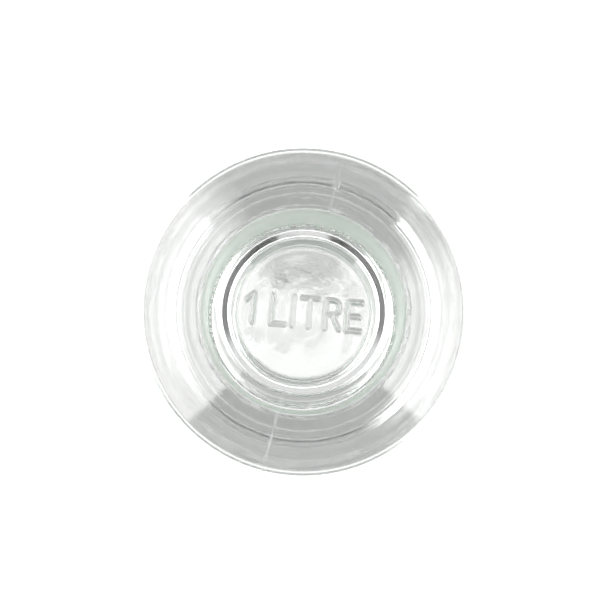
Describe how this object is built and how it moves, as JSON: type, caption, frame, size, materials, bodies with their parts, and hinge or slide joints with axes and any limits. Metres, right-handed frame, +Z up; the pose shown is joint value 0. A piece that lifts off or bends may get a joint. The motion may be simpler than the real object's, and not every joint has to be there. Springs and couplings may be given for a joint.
{
  "type": "stoppered reagent bottle",
  "caption": "Clear glass wide-mouth reagent bottle with a round body, sloping shoulder, ground neck and lift-off hollow glass stopper with a dished head.",
  "frame": {"origin": "middle of the base, on the surface that the bottle stands on", "axes": "+Z up along the bottle's axis, +Y along the joint line of the body's two-part mould"},
  "size_m": [0.108, 0.108, 0.191],
  "materials": {
    "clear_glass": "clear moulded soda-lime glass with a faint green cast, frosted where it is ground"
  },
  "bodies": {
    "bottle": {"bottle": "clear_glass"},
    "stopper": {"stopper": "clear_glass"}
  },
  "joints": [
    {"name": "stopper_lift", "type": "slide", "parent": "bottle", "child": "stopper", "axis": [0, 0, 1], "range_m": [0, 0.06]}
  ]
}
